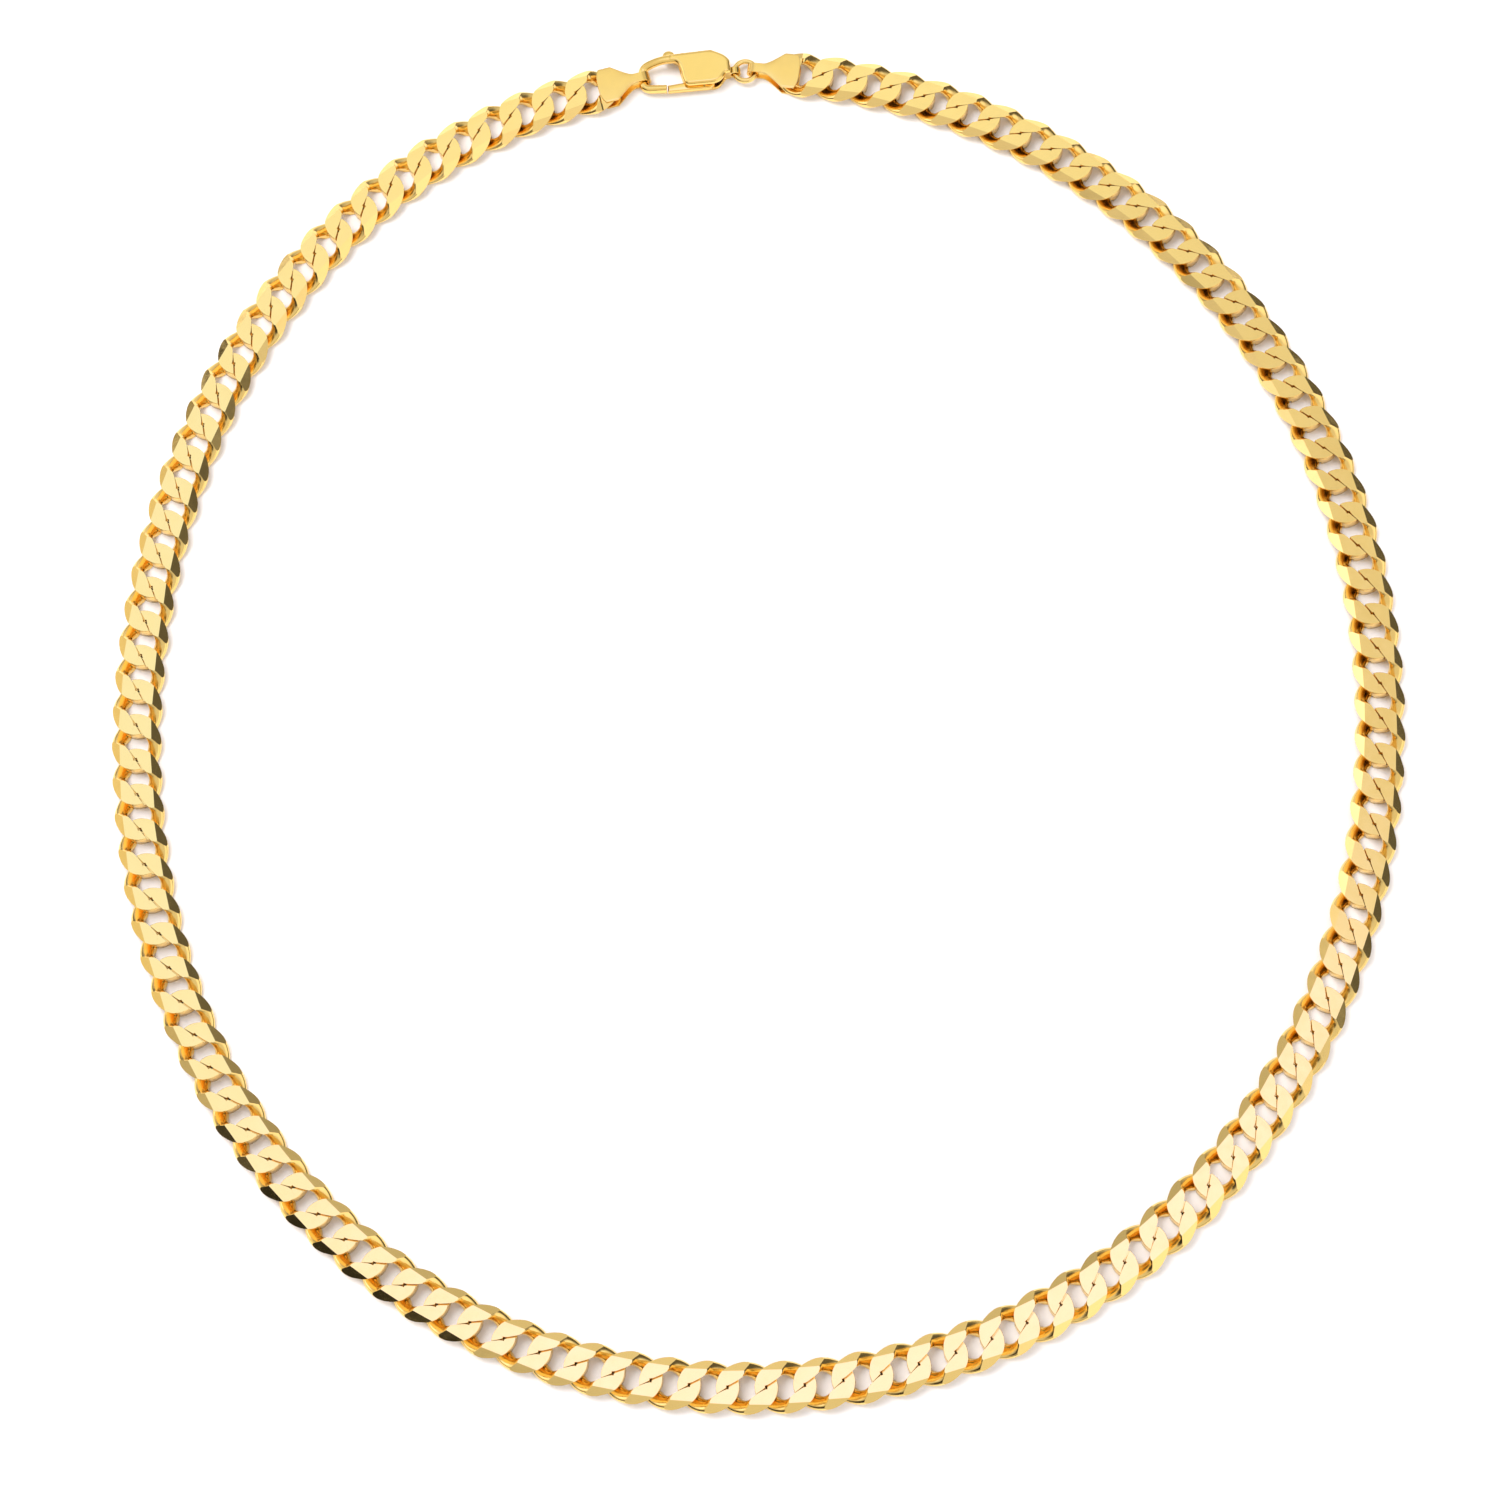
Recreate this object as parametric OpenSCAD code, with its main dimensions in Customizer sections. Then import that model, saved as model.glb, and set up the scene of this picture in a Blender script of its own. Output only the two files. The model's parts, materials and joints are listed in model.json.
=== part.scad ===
// Flat curb chain necklace with a trigger clasp, laid out closed on a flat surface.
// The origin is on that surface, in the middle of the loop. +Y is the clasp side, +Z is up.

/* [Chain] */
// Length of chain that one link takes up
link_pitch = 4.46; // [3.8:0.02:5.4]
// Width across the chain
chain_w = 6.1; // [5.4:0.1:7.4]
// Thickness between the ground flats
chain_t = 2.0; // [1.7:0.05:2.4]
// Width of the wire at a link's ends, seen from above
end_wire_w = 1.3; // [1.1:0.05:1.6]
// Width of the wire along a link's sides, seen from above
side_wire_w = 1.65; // [1.4:0.05:2]
// Height of the wire before grinding
wire_h = 1.4; // [1.2:0.05:1.7]
// Width of the ground bevel along each side
bevel_w = 1.13; // [0.9:0.01:1.4]
// Fall of the bevel for each unit of its width
bevel_fall = 0.7; // [0.5:0.05:0.85]
// Play between two links pulled tight
link_play = 0.18; // [0.12:0.02:0.3]
// How far the loop is drawn out along Y, in degrees of heading
loop_ovality = 4.5; // [0:0.1:6]
// Angle from the oval's far point to the middle of the clasp section
clasp_turn = 2.1; // [0:0.1:10]
// How far the loop is laid out unevenly from side to side, in degrees of heading
loop_egg = 0.96; // [0:0.02:1.5]
// Where the uneven side lies, as an angle round the loop from the clasp
egg_turn = -21.3; // [-60:0.1:60]
// How far the loop's four shoulders are drawn in, in degrees of heading
loop_shoulder = 0.94; // [0:0.02:1.5]
// Where the shoulders lie, as an angle round the loop from the clasp
shoulder_turn = 12.3; // [-45:0.1:45]

/* [End caps] */
// Distance from the middle of an end link to the eye of its cap
cap_reach = 6.6; // [6:0.1:8]
// Width of a cap at its broad end
cap_w = 4.75; // [4:0.05:5.8]
// Width of a cap's folded neck
cap_neck_w = 1.25; // [1:0.05:1.6]
// Thickness of the folded sheet
cap_sheet = 0.28; // [0.22:0.01:0.34]
// Distance from the middle of an end link to the broad edge of its cap
cap_gap = 0.75; // [0.6:0.05:1]

/* [Jump ring] */
// Wire of the jump ring
ring_wire_d = 0.7; // [0.5:0.05:0.85]
// Mid-line radius of the jump ring
ring_r = 1.37; // [1.3:0.01:1.7]
// Slack of the jump ring in the right-hand cap's eye
ring_slack = 0.2; // [0.1:0.01:0.26]

/* [Clasp] */
// Distance from the tail eye to the middle of the hook's tip
clasp_span = 11.85; // [11:0.05:14.4]
// Height of the clasp over its plates
clasp_t = 2.4; // [2.2:0.05:2.9]
// Thickness of each clasp plate
plate_t = 0.5; // [0.4:0.02:0.6]
// Diameter of the hook at its tip
hook_d = 1.1; // [0.9:0.05:1.2]
// Diameter of the gate's pin
pin_d = 0.8; // [0.65:0.05:1]
// Diameter of the thumb knob
knob_d = 1.65; // [1.2:0.05:1.9]
// Wire of the gate's spring
spring_wire_d = 0.2; // [0.16:0.01:0.24]
// Running clearance of the pin, the gate and the spring
clasp_play = 0.08; // [0.06:0.01:0.1]
// Clearance of an eye round the wire or bar in it
eye_play = 0.16; // [0.13:0.01:0.18]

/* [Hidden] */
$fn = 32;
SIDE_GROUPS = 26; // two-link groups on each side of the front piece
GROUP = 2; // links in each side group
FRONT = 4; // links in the front piece
LINKS = 2 * SIDE_GROUPS * GROUP + FRONT;
RINGS = 16; // sections swept round one link

// Link: half-sizes of the outer and inner outlines seen from above
link_half_l = link_pitch / 2 + link_play / 2 + end_wire_w;
link_half_w = chain_w / 2;
hole_half_l = link_half_l - end_wire_w;
hole_half_w = link_half_w - side_wire_w;
hole_power = 1.4; // over 1 draws the hole to a point at its ends
twist_rise = 0.7 * wire_h;
flat_half_w = link_half_w - bevel_w;
mid_z = chain_t / 2;

// Loop
eye_r = hook_d / 2 + eye_play;
cap_half_t = eye_r + cap_sheet;
section_sum = 2 * cap_reach + 2 * ring_r + clasp_span;
section_arc = 360 * section_sum / ((LINKS - 1) * link_pitch + section_sum);
section_turn = along(-section_arc / 2) - along(section_arc / 2);
// The caps follow their links' headings, so the straight pieces cut the loop's corner a little
clasp_section = (2 * cap_reach * cos(section_turn / 2) + 2 * ring_r + clasp_span - ring_slack)
    / (1 - pow(section_turn * PI / 180, 2) / 24) - link_pitch;
loop_len = LINKS * link_pitch + clasp_section;

function unit(v) = v / norm(v);
// Heading of the chain at angle a round the loop, clockwise from the middle of the clasp section
function along(a) = clasp_turn - a - loop_ovality * sin(2 * (a - clasp_turn))
    - loop_egg * sin(3 * (a - egg_turn)) + loop_shoulder * sin(4 * (a - shoulder_turn));
function link_at(i) = 360 * (clasp_section / 2 + (i + 0.5) * link_pitch) / loop_len;
heading = [for (i = [0 : LINKS - 1]) along(link_at(i))];
function dir(a) = [cos(a), sin(a)];

// Link middles, walked half a pitch at a time, then moved so that the loop is centred
walk = [for (i = 0, p = [0, 0]; i < LINKS; p = i < LINKS - 1
    ? p + (dir(heading[i]) + dir(heading[i + 1])) * link_pitch / 2 : p, i = i + 1) p];
low = [min([for (p = walk) p.x]), min([for (p = walk) p.y])];
high = [max([for (p = walk) p.x]), max([for (p = walk) p.y])];
middle = [for (p = walk) p - (low + high) / 2];

// Clasp section: both cap eyes, then the clasp and the ring in line between them.
// The hook is centred in the left eye, and the wide right eye takes up what is left over.
eye_right = middle[0] - dir(heading[0]) * cap_reach;
eye_left = middle[LINKS - 1] + dir(heading[LINKS - 1]) * cap_reach;
clasp_dir = unit(eye_left - eye_right);
tail_eye = eye_left - clasp_dir * clasp_span;
ring_mid = tail_eye - clasp_dir * ring_r;
clasp_angle = atan2(clasp_dir.y, clasp_dir.x);

// Clasp: x runs from the tail eye to the hook's tip, y towards the hook's back
tail_eye_r = ring_wire_d / 2 + eye_play;
tail_wall = 0.27;
tail_w = 0.9;
tail_x = 0.55; // where the plates begin behind the tail eye
tail_slope = 0.15; // how far the tail is brought down into the plates
plate_l = 6.7;
plate_low = -1.85;
plate_high = 2.85;
cut_over = 1; // how far a cutter runs past what it cuts
gate_pivot = [3.3, -0.9];
gate_tip_x = 8.7;
gate_arm_w = 0.9; // width of the arm at the hook
spring_room = 0.55; // height over the gate for its spring
gate_z = [plate_t + clasp_play, clasp_t - plate_t - spring_room];
knob_at = [8.35, 2.9];
knob_h = 0.65;
knob_arm_t = 0.6;
spring_coil_r = pin_d / 2 + clasp_play + spring_wire_d;

side = [for (i = [1 : SIDE_GROUPS]) i];

// Corners of an outline, each [x, y, r], rounded off over r to either side
function soft(p, steps = 4) = [for (i = [0 : len(p) - 1])
    let (n = len(p), v = [p[i].x, p[i].y], r = p[i].z,
        a = [p[(i + n - 1) % n].x, p[(i + n - 1) % n].y], b = [p[(i + 1) % n].x, p[(i + 1) % n].y],
        from = v + unit(a - v) * r, to = v + unit(b - v) * r)
    each (r == 0 ? [v] : [for (k = [0 : steps]) let (t = k / steps)
        (1 - t) * (1 - t) * from + 2 * t * (1 - t) * v + t * t * to])];

// Height of the ground top over a point y off the link's axis
function ground(y) = min(mid_z, mid_z - (abs(y) - flat_half_w) * bevel_fall);
function power(v, p) = sign(v) * pow(abs(v), p);

// One section of the wire: [place from the inner edge 0 to the outer edge 1, height -1 to 1]
section = [[0, 0], [0.27, 1], [0.65, 1], [1, 0], [0.65, -1], [0.27, -1]];
function link_point(t, s) =
    let (inner = [hole_half_l * power(cos(t), hole_power), hole_half_w * power(sin(t), hole_power)],
        outer = [link_half_l * cos(t), link_half_w * sin(t)],
        p = inner + (outer - inner) * s[0],
        z = -twist_rise * sin(2 * t) + s[1] * wire_h / 2,
        top = ground(p.y))
    [p.x, p.y, max(-top, min(top, z))];

// Closed tube through rings of points, one list of points for each ring
module closed_tube(rings) {
    n = len(rings);
    m = len(rings[0]);
    faces = [for (j = [0 : n - 1], i = [0 : m - 1])
        let (k = (i + 1) % m, here = j * m, next = ((j + 1) % n) * m,
            a = here + i, b = here + k, c = next + k, d = next + i)
        each [[a, c, b], [a, d, c]]];
    polyhedron([for (r = rings) each r], faces, convexity = 6);
}

// Tube with flat ends through rings of points
module open_tube(rings) {
    n = len(rings);
    m = len(rings[0]);
    faces = [for (j = [0 : n - 2], i = [0 : m - 1])
        let (k = (i + 1) % m, here = j * m, next = (j + 1) * m,
            a = here + i, b = here + k, c = next + k, d = next + i)
        each [[a, c, b], [a, d, c]]];
    polyhedron([for (r = rings) each r],
        concat(faces, [[for (i = [0 : m - 1]) i]], [[for (i = [m - 1 : -1 : 0]) (n - 1) * m + i]]),
        convexity = 6);
}

module link() {
    closed_tube([for (j = [0 : RINGS - 1]) [for (s = section) link_point(360 * j / RINGS, s)]]);
}

// End link: the half that sits in the cap, on the side that end points to, is ground to fit the sheets
module end_link(end) {
    difference() {
        link();
        for (up = [-1, 1])
            translate([end * (cap_gap + link_half_l), 0, up * (eye_r + chain_t)])
                cube([2 * link_half_l, 2 * chain_w, 2 * chain_t], center = true);
    }
}

module at_link(i) {
    translate([middle[i].x, middle[i].y, mid_z]) rotate([0, 0, heading[i]]) children();
}

module links(first, last) {
    color("gold")
    for (i = [first : last])
        at_link(i)
            if (i == 0) end_link(-1);
            else if (i == LINKS - 1) end_link(1);
            else link();
}

// Group i counts from the clasp on each side
module chain_right(i) {
    links(GROUP * (i - 1), GROUP * i - 1);
}

module chain_left(i) {
    links(LINKS - GROUP * i, LINKS - GROUP * (i - 1) - 1);
}

module chain_front() {
    links(SIDE_GROUPS * GROUP, SIDE_GROUPS * GROUP + FRONT - 1);
}

// Cap: x runs from its eye to its broad edge
cap_l = cap_reach - cap_gap;
cap_neck_l = 0.25 * cap_l;
cap_broad_l = 2.1; // length of the broad end up to the taper
cap_corner = 0.5; // how far the broad edge's corners are drawn back
cap_side = [
    [0, cap_neck_w / 2, 0], [cap_neck_l, cap_neck_w / 2, 0.8], [cap_l - cap_broad_l, cap_w / 2, 0.35],
    [cap_l - cap_corner, cap_w / 2, 0.25], [cap_l, cap_w / 3, 0.3]];
cap_outline = soft(concat(cap_side, [for (i = [len(cap_side) - 1 : -1 : 0])
    [cap_side[i].x, -cap_side[i].y, cap_side[i].z]]));

module cap() {
    color("gold") {
        for (z = [eye_r, -cap_half_t])
            translate([0, 0, z]) linear_extrude(cap_sheet) polygon(cap_outline);
        rotate([90, 0, 0])
            difference() {
                cylinder(r = cap_half_t, h = cap_neck_w, center = true);
                cylinder(r = eye_r, h = 2 * cap_neck_w, center = true);
                translate([cap_half_t, 0, 0])
                    cube([2 * cap_half_t, 3 * cap_half_t, 2 * cap_neck_w], center = true);
            }
    }
}

module end_cap_right() {
    translate([eye_right.x, eye_right.y, mid_z]) rotate([0, 0, heading[0]]) cap();
}

module end_cap_left() {
    translate([eye_left.x, eye_left.y, mid_z]) rotate([0, 0, heading[LINKS - 1] + 180]) cap();
}

module jump_ring() {
    color("gold")
    translate([ring_mid.x, ring_mid.y, mid_z])
        rotate_extrude($fn = 64) translate([ring_r, 0]) circle(d = ring_wire_d, $fn = 24);
}

module at_clasp() {
    translate([tail_eye.x, tail_eye.y, 0]) rotate([0, 0, clasp_angle]) mirror([0, 1, 0]) children();
}

// Outline of both plates
plate_outline = soft([
    [tail_x, -tail_w / 2, 0], [1.1, -tail_w / 2, 0.3], [2.2, plate_low, 0.7],
    [plate_l - 0.3, plate_low, 0.5], [plate_l + 0.25, 0.3, 0.6], [plate_l + 0.5, plate_high - 1.1, 0],
    [plate_l + 0.5, plate_high - 0.15, 0.3], [2.6, plate_high, 0.9], [1.2, tail_w / 2 + 1.2, 0.5],
    [tail_x, tail_w / 2, 0]]);

// Hook: [x, y, z, width, height] down its back, round its tip and back to the gate
tip_x = clasp_span;
hook_route = [
    [plate_l, 2.05, 1.85, 1.3, 1.0], [8.0, 2.12, 1.85, 1.25, 1.0], [9.2, 2.02, 1.8, 1.2, 1.0],
    [tip_x - 1.6, 1.72, 1.55, 1.15, 1.05], [tip_x - 0.45, 1.4, 1.2, hook_d, hook_d],
    [tip_x, 0.85, mid_z, hook_d, hook_d], [tip_x, 0, mid_z, hook_d, hook_d],
    [tip_x, -0.85, mid_z, hook_d, hook_d], [tip_x - 0.45, -1.4, 1.05, hook_d, hook_d],
    [tip_x - 1.6, -1.62, 1.1, 1.05, 1.3], [8.85, -1.75, 1.15, 1.0, 1.5]];
HOOK_SIDES = 12;
function hook_ring(i) =
    let (n = len(hook_route), r = hook_route[i],
        a = hook_route[max(i - 1, 0)], b = hook_route[min(i + 1, n - 1)],
        t = unit([b.x - a.x, b.y - a.y]), out = [-t.y, t.x])
    [for (k = [0 : HOOK_SIDES - 1]) let (u = cos(360 * k / HOOK_SIDES), v = sin(360 * k / HOOK_SIDES))
        [r.x + out.x * u * r[3] / 2, r.y + out.y * u * r[3] / 2, r.z + v * r[4] / 2]];

module clasp_body() {
    color("gold")
    at_clasp()
        difference() {
            union() {
                for (z = [0, clasp_t - plate_t])
                    translate([0, 0, z]) linear_extrude(plate_t) polygon(plate_outline);
                // Spine between the plates at the tail
                linear_extrude(clasp_t)
                    polygon(soft([[tail_x, -tail_w / 2, 0], [1.5, -tail_w / 2, 0], [1.9, 1.4, 0.3],
                        [3.2, 1.9, 0.3], [3.2, plate_high - 0.05, 0.2], [2.75, plate_high - 0.01, 0.3],
                        [1.25, tail_w / 2 + 1.1, 0.4], [tail_x, tail_w / 2, 0]]));
                translate([0, 0, mid_z]) rotate([90, 0, 0])
                    cylinder(r = tail_eye_r + tail_wall, h = tail_w, center = true);
                open_tube([for (i = [0 : len(hook_route) - 1]) hook_ring(i)]);
            }
            translate([0, 0, mid_z]) rotate([90, 0, 0])
                cylinder(r = tail_eye_r, h = 2 * tail_w, center = true);
            translate([gate_pivot.x, gate_pivot.y, -cut_over])
                cylinder(d = pin_d, h = clasp_t + 2 * cut_over);
            // Slopes that bring the tail down to the eye
            translate([-3 * tail_w, -3 * tail_w, mid_z + tail_eye_r + tail_wall])
                cube([3 * tail_w + tail_x + tail_slope, 6 * tail_w, clasp_t]);
        }
}

module clasp_gate() {
    color("gold")
    at_clasp()
        difference() {
            union() {
                // Arm that closes the hook
                translate([0, 0, gate_z[0]])
                    linear_extrude(gate_z[1] - gate_z[0])
                        polygon(soft([[2.6, -1.5, 0.3], [gate_tip_x, -1.3 - gate_arm_w, 0.1],
                            [gate_tip_x, -1.3, 0.1], [4.3, -0.9, 0.3], [3.9, -0.2, 0.3], [2.8, -0.2, 0.3]]));
                // Arm that carries the knob under the hook's back
                translate([0, 0, gate_z[0]])
                    linear_extrude(knob_arm_t)
                        polygon(soft([[3.3, -0.6, 0], [4.0, -0.6, 0], [7.6, 1.9, 0.3], [8.4, 2.4, 0],
                            [8.0, 3.1, 0], [6.8, 2.3, 0.3]]));
                translate([knob_at.x, knob_at.y, gate_z[0]])
                    cylinder(d = knob_d, h = knob_h);
            }
            translate([gate_pivot.x, gate_pivot.y, -cut_over])
                cylinder(d = pin_d + 2 * clasp_play, h = clasp_t + 2 * cut_over);
        }
}

module clasp_pin() {
    color("goldenrod")
    at_clasp()
        translate([gate_pivot.x, gate_pivot.y, 0])
            cylinder(d = pin_d, h = clasp_t);
}

// Torsion spring: a coil round the pin over the gate's hub, with a straight leg at each end
module clasp_spring() {
    coils = 2;
    steps = 14;
    leg = 0.9;
    rise = (clasp_t - plate_t - gate_z[1] - 2 * clasp_play - spring_wire_d) / (coils * steps);
    function wire(at, out, z) = [for (k = [0 : 5])
        [at.x + out.x * cos(60 * k) * spring_wire_d / 2, at.y + out.y * cos(60 * k) * spring_wire_d / 2,
            z - sin(60 * k) * spring_wire_d / 2]];
    color("silver")
    at_clasp()
        translate([gate_pivot.x, gate_pivot.y, gate_z[1] + clasp_play + spring_wire_d / 2])
            open_tube(concat(
                [wire([spring_coil_r, -leg], [1, 0], 0)],
                [for (j = [0 : coils * steps]) let (out = dir(360 * j / steps))
                    wire(spring_coil_r * out, out, rise * j)],
                [wire([spring_coil_r, leg], [1, 0], rise * coils * steps)]));
}

chain_front();
for (i = side) {
    chain_right(i);
    chain_left(i);
}
end_cap_right();
end_cap_left();
jump_ring();
clasp_body();
clasp_gate();
clasp_pin();
clasp_spring();
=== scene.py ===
import json
import math
import random

import bmesh
import bpy
from mathutils import Matrix, Vector

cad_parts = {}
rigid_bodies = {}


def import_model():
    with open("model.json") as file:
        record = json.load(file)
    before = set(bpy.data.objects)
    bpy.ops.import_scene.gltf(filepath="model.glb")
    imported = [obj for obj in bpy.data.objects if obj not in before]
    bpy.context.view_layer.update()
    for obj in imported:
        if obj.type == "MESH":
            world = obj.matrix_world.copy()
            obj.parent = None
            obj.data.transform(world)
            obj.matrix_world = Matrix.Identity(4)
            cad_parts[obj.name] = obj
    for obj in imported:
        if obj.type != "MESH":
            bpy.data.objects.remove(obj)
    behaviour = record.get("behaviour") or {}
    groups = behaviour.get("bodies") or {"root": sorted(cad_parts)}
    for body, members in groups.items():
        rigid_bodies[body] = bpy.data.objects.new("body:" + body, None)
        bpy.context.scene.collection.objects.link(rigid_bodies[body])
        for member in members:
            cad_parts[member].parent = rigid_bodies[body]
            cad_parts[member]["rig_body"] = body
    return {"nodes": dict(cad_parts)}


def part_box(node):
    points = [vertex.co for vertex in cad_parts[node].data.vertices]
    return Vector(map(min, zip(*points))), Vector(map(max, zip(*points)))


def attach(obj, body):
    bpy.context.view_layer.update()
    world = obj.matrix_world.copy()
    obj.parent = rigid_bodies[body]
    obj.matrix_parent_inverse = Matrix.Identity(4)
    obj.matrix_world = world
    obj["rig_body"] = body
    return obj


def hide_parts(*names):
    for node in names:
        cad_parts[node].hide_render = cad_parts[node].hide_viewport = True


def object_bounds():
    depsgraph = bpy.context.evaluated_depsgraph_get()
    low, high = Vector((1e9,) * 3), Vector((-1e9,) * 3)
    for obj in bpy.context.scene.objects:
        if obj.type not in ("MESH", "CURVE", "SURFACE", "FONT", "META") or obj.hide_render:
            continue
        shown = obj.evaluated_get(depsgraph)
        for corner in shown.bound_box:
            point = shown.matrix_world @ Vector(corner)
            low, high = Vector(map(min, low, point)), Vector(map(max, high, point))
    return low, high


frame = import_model()
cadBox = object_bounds()  # the box round the CAD model; the box that the looks have to stay inside
mm = 0.001
random.seed(27)


shot = {
    "lookAt": (-0.85, -6.28, 0.0),  # mm
    "azimuth": -4.98,  # degrees from +Y
    "elevation": 72.81,
    "roll": -7.68,
    "distance": 451.3,  # mm
    "lens": 89.0,
    "sensor": 36.0,
}


def setCamera():
    azimuth, elevation, roll = (math.radians(shot[k]) for k in ("azimuth", "elevation", "roll"))
    ahead = Vector((math.sin(azimuth) * math.cos(elevation), math.cos(azimuth) * math.cos(elevation),
                    -math.sin(elevation)))
    level = ahead.cross(Vector((0, 0, 1))).normalized()
    over = level.cross(ahead)
    right = math.cos(roll) * level + math.sin(roll) * over
    up = -math.sin(roll) * level + math.cos(roll) * over
    data = bpy.data.cameras.new("studioCamera")
    data.lens, data.sensor_width = shot["lens"], shot["sensor"]
    data.clip_start, data.clip_end = 0.01, 20
    camera = bpy.data.objects.new("studioCamera", data)
    place = Vector(shot["lookAt"]) * mm - ahead * shot["distance"] * mm
    camera.matrix_world = Matrix.Translation(place) @ Matrix((right, up, -ahead)).transposed().to_4x4()
    bpy.context.scene.collection.objects.link(camera)
    bpy.context.scene.camera = camera


sky = {
    # (height, brightness) from the horizon up
    "levels": ((0.0, 0.06), (0.10, 0.15), (0.26, 0.55), (0.50, 0.72), (0.80, 0.80), (0.965, 0.98)),
    "tint": (1.0, 0.985, 0.965),
    "seen": (0.94, 0.935, 0.93),  # the backdrop as it looks past the floor
    # soft areas round the table: direction, cosine where it starts and is full, color
    "patches": (
        ((-0.94, 0.29, 0.17), 0.88, 0.96, (0.86, 0.80, 0.62)),
        ((-0.80, 0.29, 0.52), 0.93, 0.98, (1.55, 1.6, 1.9)),
        ((1.0, 0.25, 0.25), 0.75, 0.93, (0.12, 0.12, 0.12)),
        ((-0.80, -0.52, 0.34), 0.92, 0.975, (0.03, 0.03, 0.03)),
        ((-0.20, 0.30, 0.93), 0.970, 0.995, (1.02, 1.20, 1.60)),
        ((0.0, 0.14, 0.99), 0.978, 0.996, (1.25, 1.36, 2.4)),
        ((0.0, 0.47, 0.88), 0.975, 0.999, (1.05, 1.14, 1.15)),
        ((0.65, -0.60, 0.50), 0.84, 0.97, (1.25, 1.25, 1.25)),
        ((0.40, 0.42, 0.82), 0.92, 0.985, (0.74, 0.74, 0.70)),
        ((0.0, 1.0, 0.08), 0.90, 0.99, (0.85, 0.85, 0.85)),
        ((0.0, -0.80, 0.60), 0.90, 0.985, (0.80, 0.80, 0.76)),
    ),
}
lamps = {
    "overhead": {"place": (-260, 220, 620), "size": 520, "power": 4.2},
    "fill": {"place": (420, -380, 420), "size": 420, "power": 1.6},
}
floorLook = {"color": (0.87, 0.85, 0.84), "roughness": 0.55, "reach": 4.0}


def link(tree, start, end):
    tree.links.new(start, end)


def colorMix(tree):
    # a mixing node for colors: the node, its two color inputs and its color output
    node = tree.nodes.new("ShaderNodeMix")
    node.data_type = "RGBA"
    first, second = [s for s in node.inputs if s.type == "RGBA"]
    return node, first, second, [s for s in node.outputs if s.type == "RGBA"][0]


def paintSky():
    world = bpy.data.worlds.new("studio")
    bpy.context.scene.world = world
    world.use_nodes = True
    tree = world.node_tree
    background = tree.nodes["Background"]
    coords = tree.nodes.new("ShaderNodeTexCoord")
    split = tree.nodes.new("ShaderNodeSeparateXYZ")
    ramp = tree.nodes.new("ShaderNodeValToRGB")
    link(tree, coords.outputs["Generated"], split.inputs[0])
    link(tree, split.outputs["Z"], ramp.inputs[0])
    marks = ramp.color_ramp.elements
    for n, (height, level) in enumerate(sky["levels"]):
        mark = marks[n] if n < 2 else marks.new(height)
        mark.position = height
        mark.color = (level, level, level, 1)
    value = ramp.outputs[0]
    for toward, start, full, color in sky["patches"]:
        dot = tree.nodes.new("ShaderNodeVectorMath")
        dot.operation = "DOT_PRODUCT"
        dot.inputs[1].default_value = Vector(toward).normalized()
        link(tree, coords.outputs["Generated"], dot.inputs[0])
        spread = tree.nodes.new("ShaderNodeMapRange")
        spread.interpolation_type = "SMOOTHSTEP"
        spread.inputs["From Min"].default_value = start
        spread.inputs["From Max"].default_value = full
        link(tree, dot.outputs["Value"], spread.inputs["Value"])
        mix, before, after, mixed = colorMix(tree)
        after.default_value = (*color, 1)
        link(tree, spread.outputs["Result"], mix.inputs["Factor"])
        link(tree, value, before)
        value = mixed
    tinted = tree.nodes.new("ShaderNodeVectorMath")
    tinted.operation = "MULTIPLY"
    tinted.inputs[1].default_value = sky["tint"]
    link(tree, value, tinted.inputs[0])
    seen, lit, backdrop, shown = colorMix(tree)
    path = tree.nodes.new("ShaderNodeLightPath")
    link(tree, path.outputs["Is Camera Ray"], seen.inputs["Factor"])
    link(tree, tinted.outputs[0], lit)
    backdrop.default_value = (*sky["seen"], 1)
    link(tree, shown, background.inputs["Color"])


def hangLamps():
    for name, lamp in lamps.items():
        data = bpy.data.lights.new(name, "AREA")
        data.shape, data.size, data.energy = "DISK", lamp["size"] * mm, lamp["power"]
        light = bpy.data.objects.new(name, data)
        light.visible_glossy = False  # lights the table; the gold mirrors only the tent
        light.location = Vector(lamp["place"]) * mm
        light.rotation_euler = light.location.to_track_quat("Z", "Y").to_euler()
        bpy.context.scene.collection.objects.link(light)


def layFloor():
    reach, low = floorLook["reach"], cadBox[0][2]
    mesh = bpy.data.meshes.new("studioFloor")
    mesh.from_pydata([(-reach, -reach, low), (reach, -reach, low), (reach, reach, low), (-reach, reach, low)],
                     [], [(0, 1, 2, 3)])
    floor = bpy.data.objects.new("studioFloor", mesh)
    bpy.context.scene.collection.objects.link(floor)
    material = bpy.data.materials.new("paleFloor")
    material.use_nodes = True
    shader = material.node_tree.nodes["Principled BSDF"]
    shader.inputs["Base Color"].default_value = (*floorLook["color"], 1)
    shader.inputs["Roughness"].default_value = floorLook["roughness"]
    shader.inputs["Specular IOR Level"].default_value = 0.2
    mesh.materials.append(material)


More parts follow.
